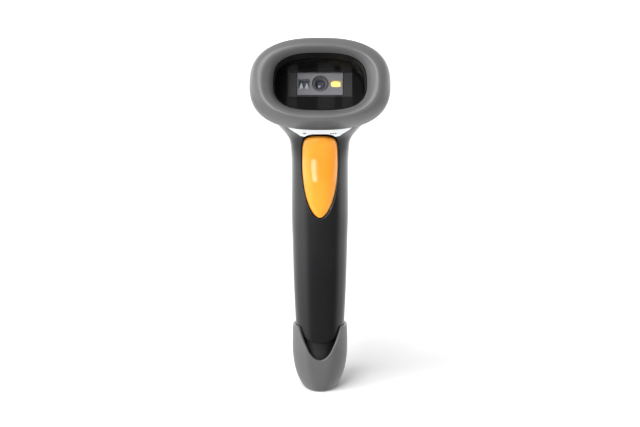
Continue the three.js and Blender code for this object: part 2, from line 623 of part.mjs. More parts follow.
function endCap() {
  const levels = [2.9, 8, 14, 20, 28, 36.6];
  const rings = (inset) => levels.map((z) => taperedSection(z, inset));
  const inside = rings(WALL + GAP + 1.6).map((ring) => ring.map(([x, y, z]) => [x, y, z + 1.8]));
  const cup = cut(solid(skin(rings(WALL + GAP))), solid(skin(inside)));
  const ledges = mirrorX((s) => block([s * 9 - 1, -8, 12], [s * 9 + 1, 9, 14.7]))
    .intersect(solid(skin(rings(WALL + 1.4))));
  const socketHole = block([-4.8, 8, 16.3], [4.8, 20, 20.2]);
  return cut(join(cup, ledges), socketHole, bar("y", 1.3, 6, 20, [0, END_SCREW_Z], 12));
}

const chargeBoard = () => join(plate(oval(7.6, 11, 10, 2.4, 28), "z", 15, 16.2),
  block([-5.6, -6.4, 16.1], [-1, -2, 17.6]), block([1.6, -6, 16.1], [5.8, -1, 18.4]));

function usbSocket() {
  const stadium = (w, h) => oval(w, h, h, 4, 24).map(([u, v]) => [u, v + 18.25]);
  const shell = cut(plate(stadium(4.45, 1.6), "y", 5.6, 13.2), plate(stadium(4.1, 1.28), "y", 6.6, 14));
  return shell.add(block([-3.3, 6.2, 17.9], [3.3, 12.6, 18.6]));
}

// The rubber foot: half width, front and rear depth by height, with a flat on the front
// that narrows towards the sole, and a notch that opens upwards at the front.
const footWidth = profile([
  [-2, 7], [0, 8.8], [1.5, 9.8], [3.5, 10.9], [5.7, 11.9], [7.9, 12.6], [10, 13.2],
  [14.4, 13.9], [18.8, 14.3], [27.5, 14.3], [33, 14.1],
]);
const footFront = profile([[-2, 14], [0, 14.9], [4, 16.2], [13, 17.6], [24, 18], [33, 17.4]]);
const footRear = profile([[-2, 14.8], [0, 15.7], [4, 17.2], [13, 18.9], [24, 19.2], [33, 18.6]]);
const footFlat = profile([[-2, 5.2], [4, 5.8], [12, 8.6], [25, 12.6], [33, 13]]);
const footPower = profile([[0, 1.9], [10, 2.15], [20, 2.3]]);
const FOOT_TOP = 32.6;
const notchAt = (x) => 15.7 + 0.125 * x * x;

function footBoot() {
  const levels = [-2, 1, 3, 6, 10, 16, 24, FOOT_TOP];
  const form = solid(skin(levels.map((z) => {
    const [w, front, rear, flat] = [footWidth(z), footFront(z), footRear(z), footFlat(z)];
    const power = footPower(z);
    return oval(w, rear, front, power, 36).map(([x, y]) => {
      if (y >= 0) return [x, y, z];
      const limit = front * (1 - Math.min(1, flat / w) ** power) ** (1 / power);
      const bulge = front * 0.06 * (1 - Math.min(1, Math.abs(x) / flat) ** 2);
      const edge = Math.max(limit, front * 0.9);
      return [x, Math.max(y, -edge - bulge), z];
    });
  })));
  const capSpace = solid(skin([2.6, 8, 14, 24].map((z) => taperedSection(z, WALL))));
  const shellSpace = gripForm(-GAP, [22.2, 28, 36]);
  const notchEdge = Array.from({ length: 19 }, (_, i) => 2 * (i - 9)).map((x) => [x, notchAt(x)]);
  const notch = plate([...notchEdge, [18, 70], [-18, 70]], "y", -40, -0.5);
  const port = block([-FLAP.halfWidth - 0.35, 8, 13.6], [FLAP.halfWidth + 0.35, 30, 22.6]);
  return cut(form, capSpace, shellSpace, notch, port, belowFloor);
}

// The charging port's cover, hinged along its lower edge.
function portFlap() {
  const { z, y, halfWidth, height } = FLAP;
  const panel = block([-halfWidth, y - 0.9, z], [halfWidth, y + 0.85, z + height]);
  const knuckle = bar("x", 0.85, -halfWidth, halfWidth, [y, z], 16);
  const lip = block([-3, y + 0.6, z + height - 1.4], [3, y + 1.5, z + height]);
  return join(panel, knuckle, lip);
}

// ---------- assembly ----------
add(grip, "front_shell", frontShell(), GLOSS_BLACK);
add(grip, "rear_shell", rearShell(), GLOSS_BLACK);
add(head, "front_bumper", frontBumper(), RUBBER);
add(head, "scan_window", scanWindow(), TINTED);
add(head, "window_gasket", windowGasket(), FOAM);
add(head, "window_frame", windowFrame(), MATTE_BLACK);
add(head, "engine_bracket", engineBracket(), MATTE_BLACK);
add(head, "engine_plate", enginePlate(), ENGINE_GREY);
add(head, "engine_housing", engineHousing(), ENGINE_GREY);
add(head, "camera_barrel", cameraBarrel(), MATTE_BLACK);
add(head, "camera_lens", cameraLens(), LENS_GLASS);
add(head, "aimer_lens", aimerLens(), CLEAR);
add(head, "light_lens", lightLens(), LED_YELLOW);
add(head, "engine_board", engineBoard(), BOARD_GREEN);
add(head, "engine_cable", engineCable(), LED_YELLOW);
add(head, "main_board", mainBoard(), BOARD_GREEN);
add(head, "processor_chip", processorChip(), CHIP);
add(head, "radio_module", radioModule(), STEEL);
add(head, "sounder", sounder(), CHIP);
add(head, "status_lens", statusLens(), CLEAR);
for (const [side, s] of [["left", -1], ["right", 1]]) {
  const onEngine = screw("z", ENGINE.z - 9.8, ENGINE.z - 4, placed(s, ENGINE_SCREW_AT),
    { radius: 0.8, cap: 1.6, capHeight: 1.1 });
  const onBoard = screw("z", BOARD_Z + 1.8, BOARD_Z - 4, placed(s, BOARD_SCREW_AT),
    { radius: 0.95, cap: 2, capHeight: 1.4 });
  const onCarrier = screw("y", -1.4, -7.4, placed(s, CARRIER_SCREW_AT),
    { radius: 0.9, cap: 1.7, capHeight: 1.4 });
  const onHousing = screw("y", 10.4, -4, placed(s, HOUSING_SCREW_AT),
    { radius: 1.1, cap: 2.2, capHeight: 1.5 });
  add(head, `engine_screw_${side}`, onEngine, STEEL);
  add(head, `board_screw_${side}`, onBoard, STEEL);
  add(grip, `carrier_screw_${side}`, onCarrier, STEEL);
  add(grip, `housing_screw_${side}`, onHousing, STEEL);
}
add(grip, "rating_label", ratingLabel(), LABEL);
add(grip, "trigger", trigger(), ORANGE);
add(grip, "trigger_pin", triggerPin(), STEEL);
add(grip, "trigger_spring", triggerSpring(), STEEL);
add(grip, "trigger_switch", tactSwitch(), CHIP);
add(grip, "switch_plunger", switchPlunger(), LABEL);
add(grip, "trigger_board", triggerBoard(), BOARD_GREEN);
add(grip, "switch_carrier", switchCarrier(), MATTE_BLACK);
add(grip, "battery_cell", batteryCell(), SLEEVE);
add(grip, "battery_cradle", batteryCradle(), MATTE_BLACK);
add(grip, "battery_lead_red", batteryLead(-2.2), WIRE_RED);
add(grip, "battery_lead_black", batteryLead(2.2), CHIP);
add(grip, "charge_cable", chargeCable(), CHIP);
add(grip, "end_cap", endCap(), MATTE_BLACK);
add(grip, "end_cap_screw",
  screw("y", 15.7, 8.6, [0, END_SCREW_Z], { radius: 1, cap: 2.2, capHeight: 0.9 }), STEEL);
add(grip, "charge_board", chargeBoard(), BOARD_GREEN);
add(grip, "usb_socket", usbSocket(), STEEL);
add(grip, "foot_boot", footBoot(), RUBBER);
add(grip, "port_flap", portFlap(), RUBBER);

// The origin is at the middle of the object's box, on the surface that it stands on.
scanner.updateMatrixWorld(true);
const extent = new THREE.Box3().setFromObject(scanner, true);
scanner.position.set(0, -(extent.min.y + extent.max.y) / 2, -extent.min.z);

export default scanner;
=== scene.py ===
"""Looks of the handheld barcode scanner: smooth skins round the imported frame, materials, studio and camera.

Shapes are computed in millimetres, in the head's frame (y along the scan axis, window at -y) or the
grip's frame (z along the grip), and become metres when a mesh is made.
"""

import math

import bpy
import numpy as np
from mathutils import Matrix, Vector


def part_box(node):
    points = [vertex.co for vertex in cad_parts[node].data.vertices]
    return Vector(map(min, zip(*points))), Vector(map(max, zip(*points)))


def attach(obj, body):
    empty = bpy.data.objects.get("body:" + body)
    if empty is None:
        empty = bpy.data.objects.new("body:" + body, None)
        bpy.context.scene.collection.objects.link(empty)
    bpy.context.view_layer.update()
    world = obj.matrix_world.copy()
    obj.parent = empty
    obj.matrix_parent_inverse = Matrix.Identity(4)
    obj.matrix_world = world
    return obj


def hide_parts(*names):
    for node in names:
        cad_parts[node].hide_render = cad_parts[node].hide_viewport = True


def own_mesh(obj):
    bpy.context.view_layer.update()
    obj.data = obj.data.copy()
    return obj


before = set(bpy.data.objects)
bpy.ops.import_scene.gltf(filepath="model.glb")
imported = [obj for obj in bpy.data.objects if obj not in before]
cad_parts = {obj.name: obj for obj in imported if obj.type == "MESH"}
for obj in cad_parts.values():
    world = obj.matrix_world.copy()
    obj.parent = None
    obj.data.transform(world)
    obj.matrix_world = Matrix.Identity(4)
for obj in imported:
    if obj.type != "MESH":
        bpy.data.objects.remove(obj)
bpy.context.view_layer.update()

# ---------- driving dimensions, the same as the CAD model's ----------
HEAD_TILT = math.radians(20)
GRIP_LEAN = math.radians(5)
HEAD_AT = (0, 7, 146)
PIN_AT = (0, -11.5, 94.8)
WALL = 2.0
GAP = 0.3
HEAD_POWER = 2.5
HEAD_RIM = -32.2
BUMPER_REAR = -26.5
HEAD_END = 45.0
HEAD_ROUND = 31.0
RIM_LOW = 24.3
RIM_RISE = 0.042
TRIGGER_TIP = 89.2
TRIGGER_TOP = 131.0
TRIGGER_WIDEST = 117.5
TRIGGER_HALF = 9.1
TRIGGER_SKIRT = -13.5
SPRING_Z = 121
ENGINE_Z = 6.3
FOOT_TOP = 32.6
NOTCH_LOW = 15.7
NOTCH_RISE = 0.125
SCREW_AT = (10.6, 120)  # the housing screws, across and along the grip
SCREW_WELL = 2.6

# ---------- dimensions of the cuts ----------
FAR = 9.0  # the value of a cut where it has no say
OPENING_GAP = 0.45
LABEL_GAP = 0.65
LIP_HALF = 1.4
TRIGGER_REAR = -13.2
CAP_TOP = 36.4
STATUS_LENS_Y = 25
STATUS_LENS_HALF = (6.2, 1.8)
SOUNDER_Y = 33
PORT_Z = 18.1
PORT_HALF = (6.65, 4.5)
PRINT_Y = -15.2
PRINT_HALF_LENGTH = 0.8
PRINT_BARS = ((-7.7, 0.8), (5.4, 0.4), (6.6, 0.4), (7.8, 0.4))  # middle and half width

FINE = 1.0  # coarser skins while trying things


def profile(points):
    """A smooth curve through (x, value) pairs, level beyond its ends."""
    xs, ys = np.array(points, float).T
    count = len(xs)
    before = np.maximum(np.arange(count) - 1, 0)
    after = np.minimum(np.arange(count) + 1, count - 1)
    slope = (ys[after] - ys[before]) / (xs[after] - xs[before])

    def curve(x):
        x = np.clip(x, xs[0], xs[-1])
        i = np.clip(np.searchsorted(xs, x, side="right") - 1, 0, count - 2)
        step = xs[i + 1] - xs[i]
        t = (x - xs[i]) / step
        rest = 1 - t
        left = (1 + 2 * t) * rest**2 * ys[i] + t * rest**2 * step * slope[i]
        right = t * t * (3 - 2 * t) * ys[i + 1] - t * t * rest * step * slope[i + 1]
        return left + right

    return curve


grip_width = profile([
    (20, 12), (35.5, 12.8), (50, 13.5), (65, 14), (77, 14.3), (90, 14.7), (118, 14.75), (124, 15.1),
    (128, 15.5), (130, 16), (132, 16.9), (134, 18), (136, 19.2), (139, 20.3),
])
grip_front = profile([
    (20, 14.6), (35, 15.6), (60, 16.4), (90, 17.2), (112, 17.8), (122, 18.8), (128, 20.4),
    (130, 21.5), (131.5, 23.5), (132.5, 26.2), (134.5, 32), (136.5, 38),
])
grip_rear = profile([
    (20, 15.4), (35, 16.4), (55, 18.2), (75, 19), (95, 18.2), (112, 17.4), (124, 18.6), (132, 21.5),
    (139, 25),
])
grip_power = profile([(124, 2.4), (130, 2.9), (134, 4.5)])
head_width = profile([(-36, 31), (-20, 29.8), (-5, 25.5), (10, 21), (25, 18), (46, 15)])
head_top = profile([(-36, 18), (-20, 18.3), (-5, 17.9), (10, 16.8), (25, 15.2), (46, 12.4)])
head_bottom = profile([(-36, 17.8), (-24, 17.8), (-12, 15.6), (0, 12.4), (10, 10.8), (20, 10), (46, 9)])
trigger_front = profile([
    (89.2, 17.4), (92, 18.4), (97, 20.2), (102, 21.5), (105.5, 22.1), (108, 22.2), (110.5, 21.8), (114, 21),
    (117, 20.6), (120, 20.5), (122.5, 21), (125, 22.2), (127, 23.3), (128.5, 23.8), (129.5, 23.7),
    (130.4, 23), (131, 21.8),
])
trigger_crown = profile([
    (117.5, 9.1), (122, 9.1), (125, 9), (127.5, 8.7), (129, 8.1), (130, 7.1), (130.7, 5.4), (131, 3.5),
])
foot_width = profile([
    (-2, 7), (0, 8.8), (1.5, 9.8), (3.5, 10.9), (5.7, 11.9), (7.9, 12.6), (10, 13.2), (14.4, 13.9),
    (18.8, 14.3), (27.5, 14.3), (33, 14.1),
])
foot_front = profile([(-2, 14), (0, 14.9), (4, 16.2), (13, 17.6), (24, 18), (33, 17.4)])
foot_rear = profile([(-2, 14.8), (0, 15.7), (4, 17.2), (13, 18.9), (24, 19.2), (33, 18.6)])
foot_flat = profile([(-2, 5.2), (4, 5.8), (12, 8.6), (25, 12.6), (33, 13)])
foot_power = profile([(0, 1.9), (10, 2.15), (20, 2.3)])


# ---------- frames ----------
def leaning(angle):
    """The rotation that leans a frame back by an angle."""
    c, s = math.cos(angle), math.sin(angle)
    return np.array([[1, 0, 0], [0, c, s], [0, -s, c]])


def middle_of(node):
    """The middle of a CAD node's box, in millimetres."""
    low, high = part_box(node)
    return np.array((Vector(low) + Vector(high)) / 2) * 1000


# A frame is a rotation and the place of its origin; the hinge pin shows where the grip is.
GRIP = (leaning(GRIP_LEAN), middle_of("trigger_pin") - leaning(GRIP_LEAN) @ np.array(PIN_AT))
HEAD = (leaning(HEAD_TILT), GRIP[1] + np.array(HEAD_AT))
WORLD = (np.eye(3), np.zeros(3))


def to_world(points, place):
    return np.asarray(points, float) @ place[0].T + place[1]


def to_local(points, place):
    return (points - place[1]) @ place[0]


# ---------- fields: negative inside a shape, about the distance in millimetres ----------
def oval_reach(u, v, half_u, half_v, power):
    """1 on a superellipse's outline, less inside it."""
    return (np.abs(u / half_u) ** power + np.abs(v / half_v) ** power) ** (1 / power)


def grip_field(points, inset=0.0):
    x, y, z = to_local(points, GRIP).T
    wide = grip_width(z) - inset
    deep = np.where(y > 0, grip_rear(z), grip_front(z)) - inset
    return (oval_reach(x, y, wide, deep, grip_power(z)) - 1) * np.minimum(wide, deep)


def head_field(points):
    x, y, z = to_local(points, HEAD).T
    wide = head_width(y)
    tall = np.where(z > 0, head_top(y), head_bottom(y))
    reach = oval_reach(x, z, wide, tall, HEAD_POWER)
    t = np.clip((y - HEAD_END + HEAD_ROUND) / HEAD_ROUND, 0, None)
    return ((reach**2.2 + t**2.5) ** (1 / 2.2) - 1) * np.minimum(wide, tall)


def smooth_min(a, b, radius):
    h = np.clip(0.5 + 0.5 * (b - a) / radius, 0, 1)
    return b * (1 - h) + a * h - radius * h * (1 - h)


def smooth_max(a, b, radius):
    return -smooth_min(-a, -b, radius)


def body_field(points):
    """The grip joined to the head, with a fillet that fades out towards the bumper."""
    y_head = to_local(points, HEAD)[:, 1]
    z_grip = to_local(points, GRIP)[:, 2]
    grip = np.maximum(np.maximum(grip_field(points), BUMPER_REAR + GAP - y_head), z_grip - 139)
    radius = 1 + 6 * np.clip((y_head + 20) / 20, 0, 1)
    return smooth_min(grip, head_field(points), radius)


def end_taper(z):
    """How far the end cap draws in near the bottom of the grip."""
    return np.maximum(0, (12 - z) * 0.24)


def cap_field(points):
    x, y, z = to_local(points, GRIP).T
    inset = WALL + GAP + end_taper(z)
    wide = grip_width(z) - inset
    deep = np.where(y > 0, grip_rear(z), grip_front(z)) - inset
    side = (oval_reach(x, y, wide, deep, grip_power(z)) - 1) * np.minimum(wide, deep)
    return smooth_max(side, 2.9 - z, 1.0)


def foot_field(points):
    """The foot's outside, with a flat on the front that narrows towards the sole."""
    x, y, z = to_local(points, GRIP).T
    wide, power, flat, front = foot_width(z), foot_power(z), foot_flat(z), foot_front(z)
    deep = np.where(y > 0, foot_rear(z), front)
    side = (oval_reach(x, y, wide, deep, power) - 1) * np.minimum(wide, deep)
    limit = front * np.clip(1 - (flat / wide) ** power, 0, 1) ** (1 / power)
    bulge = front * 0.06 * np.clip(1 - (x / flat) ** 2, 0, 1)
    facet = -y - np.maximum(limit, front * 0.9) - bulge
    return smooth_max(smooth_max(side, facet, 0.5), 0.02 - points[:, 2], 0.9)


def trigger_half(z):
    """Half the trigger's width: a half ellipse below its widest level, the crown above it."""
    lower = np.clip((TRIGGER_WIDEST - z) / (TRIGGER_WIDEST - TRIGGER_TIP + 0.1), 0, 1)
    blade = TRIGGER_HALF * np.sqrt(1 - lower**2)
    return np.maximum(0.4, np.where(z > TRIGGER_WIDEST, trigger_crown(z), blade))


def trigger_field(points):
    x, y, z = to_local(points, GRIP).T
    wide = trigger_half(z)
    deep = trigger_front(z) + TRIGGER_SKIRT
    ahead = np.maximum(0, TRIGGER_SKIRT - y)
    side = (oval_reach(x, ahead, wide, deep, 2.6) - 1) * np.minimum(wide, deep)
    return smooth_max(smooth_max(side, z - TRIGGER_TOP, 0.6), TRIGGER_TIP - z, 0.4)


# ---------- outlines that cut the skins ----------
def line_distance(line, u, v, closed):
    """The distance from a polyline, positive on its left side."""
    ends = np.roll(line, -1, axis=0) if closed else line[1:]
    starts = line if closed else line[:-1]
    best = np.full(len(u), 1e9)
    signed = np.zeros(len(u))
    for (u0, v0), (u1, v1) in zip(starts, ends):
        du, dv = u1 - u0, v1 - v0
        t = np.clip(((u - u0) * du + (v - v0) * dv) / (du * du + dv * dv), 0, 1)
        away = np.hypot(u - u0 - t * du, v - v0 - t * dv)
        left = du * (v - v0) - dv * (u - u0)
        closer = away < best
        best = np.where(closer, away, best)
        signed = np.where(closer, np.sign(left) * away, signed)
    return signed


def seam_line():
    """The seam between the shells in the grip's side view, from the head's front to the grip's end."""
    above_axis, behind_axis = 1, 1.5

    def from_head(y):
        return to_local(to_world([0, y, above_axis], HEAD), GRIP)[1:]

    start, turn, pull = from_head(-60), from_head(-12), from_head(2)
    low_pull, low = np.array([behind_axis, 137]), np.array([behind_axis, 112])
    t = np.linspace(0, 1, 25)[:, None]
    bend = (
        turn * (1 - t) ** 3
        + 3 * pull * t * (1 - t) ** 2
        + 3 * low_pull * t * t * (1 - t)
        + low * t**3
    )
    return np.vstack([start, bend, [behind_axis, 0]])


def trigger_outline(raise_by):
    """The trigger's outline seen from the front, counter-clockwise from its lower tip, its crown raised."""
    a = np.linspace(0, math.pi / 2, 40)
    drop = TRIGGER_WIDEST - TRIGGER_TIP
    side = np.column_stack([TRIGGER_HALF * np.sin(a), TRIGGER_WIDEST - drop * np.cos(a)])
    z = np.linspace(TRIGGER_WIDEST + 0.5, TRIGGER_TOP, 40)
    crown = np.column_stack([trigger_crown(z), z + raise_by * np.clip((z - 124) / 4, 0, 1)])
    right = np.vstack([side, crown, [0, TRIGGER_TOP + raise_by]])
    return np.vstack([right, right[-2:0:-1] * [-1, 1]])


SEAM = seam_line()
OPENING = trigger_outline(0.2)
LABEL = np.array([(-19.5, -26.1), (19.5, -26.1), (9.9, -11), (-9.9, -11)])  # (x, y) in the head's frame


def opening_cut(points):
    """Positive outside the trigger's opening, which is only in the front wall."""
    x, y, z = to_local(points, GRIP).T
    return np.where(y < -9, -line_distance(OPENING, x, z, True) - OPENING_GAP, FAR)


def rim_cut(points):
    """Positive above the housing's lower edge."""
    x, _, z = to_local(points, GRIP).T
    return z - RIM_LOW - np.minimum(RIM_RISE * x * x, 10)


def front_cut(points):
    """Positive behind the housing's front edge."""
    return to_local(points, HEAD)[:, 1] - HEAD_RIM


def seam_cut(points):
    """Positive on the front shell's side."""
    _, y, z = to_local(points, GRIP).T
    return -line_distance(SEAM, y, z, False)


def lens_cut(points):
    """Positive inside the status light's slot, on top of the head."""
    x, y, z = to_local(points, HEAD).T
    long, short = (half + GAP for half in STATUS_LENS_HALF)
    inside = (1 - oval_reach(x, y - STATUS_LENS_Y, long, short, 3)) * short
    return np.where(z > 0, inside, -FAR)


def round_hole(u, v, radius):
    return np.hypot(u, v) - radius


def rear_holes(points):
    """Positive outside the screw wells and the sounder's holes."""
    x, y, z = to_local(points, GRIP).T
    wells = round_hole(np.abs(x) - SCREW_AT[0], z - SCREW_AT[1], SCREW_WELL)
    result = np.where(y > 2, wells, FAR)
    x, y, z = to_local(points, HEAD).T
    for across in (-4, -2, 0, 2, 4):
        hole = round_hole(x - across, y - SOUNDER_Y + 0.06 * across**2, 0.7)
        result = np.minimum(result, np.where(z > 0, hole, FAR))
    return result


def front_shell_cut(points):
    return np.minimum.reduce([
        opening_cut(points), rim_cut(points), front_cut(points), seam_cut(points) - GAP / 2,
    ])


def rear_shell_cut(points):
    return np.minimum.reduce([
        rim_cut(points), front_cut(points), -seam_cut(points) - GAP / 2,
        -lens_cut(points), rear_holes(points),
    ])


def lip_cut(points):
    """Positive near the seam, for the lip that closes it from inside."""
    return np.minimum.reduce([
        LIP_HALF - np.abs(seam_cut(points)), rim_cut(points), front_cut(points), -lens_cut(points),
    ])


def rear_surface(x, z):
    """The distance of the grip's rear surface behind its axis."""
    power = grip_power(z)
    return grip_rear(z) * np.clip(1 - np.abs(x / grip_width(z)) ** power, 0, 1) ** (1 / power)


def label_cut(points):
    """Positive inside the label, which stops short of the trigger's opening."""
    x, y, z = to_local(points, HEAD).T
    inside = np.where(z < 0, line_distance(LABEL, x, y, True), -FAR)
    x, _, z = to_local(points, GRIP).T
    return np.minimum(inside, -line_distance(OPENING, x, z, True) - LABEL_GAP)


def print_cut(points):
    """Positive inside the label's printed marks: plain bars in place of its text."""
    x, y, z = to_local(points, HEAD).T
    result = np.full(len(points), -FAR)
    for middle, half in PRINT_BARS:
        bar = np.minimum(half - np.abs(x - middle), PRINT_HALF_LENGTH - np.abs(y - PRINT_Y))
        result = np.maximum(result, bar)
    return np.where(z < 0, result, -FAR)


def foot_cut(points):
    """Positive on the foot's rubber: below its top and its notch, and outside the charging port."""
    x, y, z = to_local(points, GRIP).T
    notch = (NOTCH_LOW + NOTCH_RISE * x * x - z) / np.sqrt(1 + (2 * NOTCH_RISE * x) ** 2)
    keep = np.minimum(FOOT_TOP - z, np.where(y < 0, notch, FAR))
    port = np.maximum(np.abs(x) - PORT_HALF[0], np.abs(z - PORT_Z) - PORT_HALF[1])
    return np.minimum(keep, np.where(y > 8, port, FAR))


def trigger_cut(points):
    """Positive ahead of the trigger's rear edge."""
    return TRIGGER_REAR - to_local(points, GRIP)[:, 1]


def cap_cut(points):
    """Positive below the end cap's top."""
    return CAP_TOP - to_local(points, GRIP)[:, 2]


# ---------- meshes ----------
def make(name, points, faces, place=WORLD, normals=None):
    """A smooth-shaded object from points in millimetres."""
    mesh = bpy.data.meshes.new(name)
    mesh.from_pydata((to_world(points, place) / 1000).tolist(), [], [list(map(int, f)) for f in faces])
    mesh.shade_smooth()
    if normals is None:
        mesh.set_sharp_from_angle(angle=math.radians(32))
    else:
        mesh.normals_split_custom_set_from_vertices(normals.tolist())
    made = bpy.data.objects.new(name, mesh)
    bpy.context.collection.objects.link(made)
    return made


def polygonise(field, low, high, cell):
    """Surface nets: a point in each grid cell that the surface crosses, joined across the edges."""
    axes = [np.arange(a, b + cell, cell) for a, b in zip(low, high)]
    grid = np.stack(np.meshgrid(*axes, indexing="ij"), -1)
    shape = grid.shape[:3]
    inside = (field(grid.reshape(-1, 3)) < 0).reshape(shape)
    corners = sum(
        inside[i:shape[0] - 1 + i, j:shape[1] - 1 + j, k:shape[2] - 1 + k].astype(np.int8)
        for i in (0, 1) for j in (0, 1) for k in (0, 1)
    )
    cells = np.argwhere((corners > 0) & (corners < 8))
    index = np.full(corners.shape, -1)
    index[tuple(cells.T)] = np.arange(len(cells))
    points = np.array(low) + (cells + 0.5) * cell
    triangles = []
    for axis in range(3):
        ahead = [slice(None)] * 3
        behind = [slice(None)] * 3
        ahead[axis], behind[axis] = slice(1, None), slice(None, -1)
        crossing = inside[tuple(behind)].astype(int) - inside[tuple(ahead)].astype(int)
        u, v = (axis + 1) % 3, (axis + 2) % 3
        for way in (1, -1):
            at = np.argwhere(crossing == way)
            at = at[(at[:, u] > 0) & (at[:, v] > 0) & (at[:, u] < shape[u] - 1) & (at[:, v] < shape[v] - 1)]
            ring = []
            for du, dv in ((-1, -1), (0, -1), (0, 0), (-1, 0)):
                step = at.copy()
                step[:, u] += du
                step[:, v] += dv
                ring.append(index[tuple(step.T)])
            a, b, c, d = ring if way == 1 else ring[::-1]
            triangles += [np.column_stack([a, b, c]), np.column_stack([a, c, d])]
    return points, np.vstack(triangles)


def gradient(field, points, step=0.03):
    """How a field changes along x, y and z."""
    result = np.empty_like(points)
    for axis in range(3):
        shift = np.zeros(3)
        shift[axis] = step
        result[:, axis] = (field(points + shift) - field(points - shift)) / (2 * step)
    return result


def unit(vectors):
    return vectors / np.maximum(np.linalg.norm(vectors, axis=1, keepdims=True), 1e-9)


def snap(points, field, reach, times=4):
    """Moves points onto a field's surface."""
    for _ in range(times):
        slope = gradient(field, points)
        move = slope * (field(points) / np.maximum((slope**2).sum(1), 1e-6))[:, None]
        length = np.linalg.norm(move, axis=1, keepdims=True)
        points = points - move * np.minimum(1, reach / np.maximum(length, 1e-9))
    return points


def divide(points, triangles, value, drop):
    """Cuts triangles where value is 0, and drops the negative side if asked."""
    value = np.where(np.abs(value) < 1e-4, 1e-4, value)
    sign = value[triangles] > 0
    count = sign.sum(1)
    whole = triangles[(count == 3) | ((count == 0) & (not drop))]
    mixed = (count == 1) | (count == 2)
    kept_tip = count[mixed] == 1
    lone = np.where(kept_tip, sign[mixed].argmax(1), (~sign[mixed]).argmax(1))
    turned = np.take_along_axis(triangles[mixed], (lone[:, None] + np.arange(3)) % 3, 1)
    pairs = np.sort(np.vstack([turned[:, [0, 1]], turned[:, [0, 2]]]), 1)
    keys, place = np.unique(pairs[:, 0] * len(points) + pairs[:, 1], return_inverse=True)
    a, b = keys // len(points), keys % len(points)
    share = value[a] / (value[a] - value[b])
    fresh = points[a] + (points[b] - points[a]) * share[:, None]
    place = place.reshape(-1) + len(points)
    p, q = place[:len(turned)], place[len(turned):]
    tip = np.column_stack([turned[:, 0], p, q])
    second, third = turned[:, 1], turned[:, 2]
    rest = np.vstack([np.column_stack([p, second, third]), np.column_stack([p, third, q])])
    tip = tip[kept_tip | (not drop)]
    rest = rest[np.tile(~kept_tip | (not drop), 2)]
    triangles = np.vstack([whole, tip, rest])
    points = np.vstack([points, fresh])
    used, compact = np.unique(triangles, return_inverse=True)
    return points[used], compact.reshape(triangles.shape)


def open_edges(triangles):
    """The directed edges that only one triangle uses."""
    edges = np.vstack([triangles[:, [0, 1]], triangles[:, [1, 2]], triangles[:, [2, 0]]])
    count = triangles.max() + 1
    forward = edges[:, 0] * count + edges[:, 1]
    backward = edges[:, 1] * count + edges[:, 0]
    return edges[~np.isin(forward, backward)]


def skin(name, field, box, cell, cut, wall, fillet=0.35, offset=0.0):
    """A wall that follows a field's surface where cut is positive, with its outer edges rounded."""
    cell *= FINE
    points, triangles = polygonise(field, *box, cell)
    points = snap(points, field, cell)
    points, triangles = divide(points, triangles, cut(points), drop=True)
    for level in (0.15, 0.5, 1.0):
        points, triangles = divide(points, triangles, cut(points) - level * fillet, drop=False)
    points = snap(points, field, 0.2, times=2)
    normal = unit(gradient(field, points))
    away = -gradient(cut, points)
    away = unit(away - normal * (away * normal).sum(1, keepdims=True))
    lean = np.clip(1 - cut(points) / fillet, 0, 1)[:, None]
    upright = np.sqrt(1 - lean**2)
    outer = points + normal * (offset - fillet * (1 - upright))
    inner = points + normal * (offset - wall)
    edges = open_edges(triangles)
    count = len(points)
    outside = unit(normal * upright + away * lean)
    inside = -normal
    inside[edges[:, 0]] = outside[edges[:, 0]]
    faces = triangles.tolist() + (triangles[:, ::-1] + count).tolist()
    faces += np.column_stack([edges[:, 1], edges[:, 0], edges[:, 0] + count, edges[:, 1] + count]).tolist()
    return make(name, np.vstack([outer, inner]), faces, normals=np.vstack([outside, inside]))


def loft(name, rings, place, closed=False):
    """A skin over rings of equal point count, capped at both ends or closed on itself."""
    count = len(rings[0])
    faces = []
    around = np.arange(count)
    ahead = (around + 1) % count
    last = len(rings) if closed else len(rings) - 1
    for r in range(last):
        a, b = r * count, (r + 1) % len(rings) * count
        faces += np.column_stack([a + around, a + ahead, b + ahead, b + around]).tolist()
    if not closed:
        faces += [around[::-1].tolist(), ((len(rings) - 1) * count + around).tolist()]
    return make(name, np.vstack(rings), faces, place)


def oval(half_u, up, down, power, count=160):
    """Points (u, v) of a closed superellipse, with its own height on each side of the u axis."""
    a = np.linspace(0, 2 * math.pi, count, endpoint=False)
    c, s = np.cos(a), np.sin(a)
    v = np.sign(s) * np.abs(s) ** (2 / power)
    return np.column_stack([np.sign(c) * half_u * np.abs(c) ** (2 / power), v * np.where(s > 0, up, down)])


def head_ring(y, wide, up, down, power, count):
    """One ring of a loft across the head's axis."""
    outline = oval(wide, up, down, power, count)
    return np.column_stack([outline[:, 0], np.full(count, y), outline[:, 1]])


def turned_piece(name, outline, place, axis, centre, count=72):
    """A solid of revolution: (radius, distance) pairs turned about an axis, 'y' or 'z'."""
    a = np.linspace(0, 2 * math.pi, count, endpoint=False)
    rings = []
    for radius, along in outline:
        u, v = radius * np.cos(a) + centre[0], radius * np.sin(a) + centre[1]
        flat = np.full(count, float(along))
        rings.append(np.column_stack([u, flat, v] if axis == "y" else [u, v, flat]))
    if axis == "z":
        rings = [ring[::-1] for ring in rings]
    return loft(name, rings, place)


def rounded_block(name, low, high, place, radius, segments=4):
    """A block with rounded edges."""
    corners = [(x, y, z) for x in (low[0], high[0]) for y in (low[1], high[1]) for z in (low[2], high[2])]
    faces = [(0, 1, 3, 2), (4, 6, 7, 5), (0, 4, 5, 1), (2, 3, 7, 6), (0, 2, 6, 4), (1, 5, 7, 3)]
    block = make(name, corners, faces, place)
    bevel = block.modifiers.new("round", "BEVEL")
    bevel.width = radius / 1000
    bevel.segments = segments
    return block


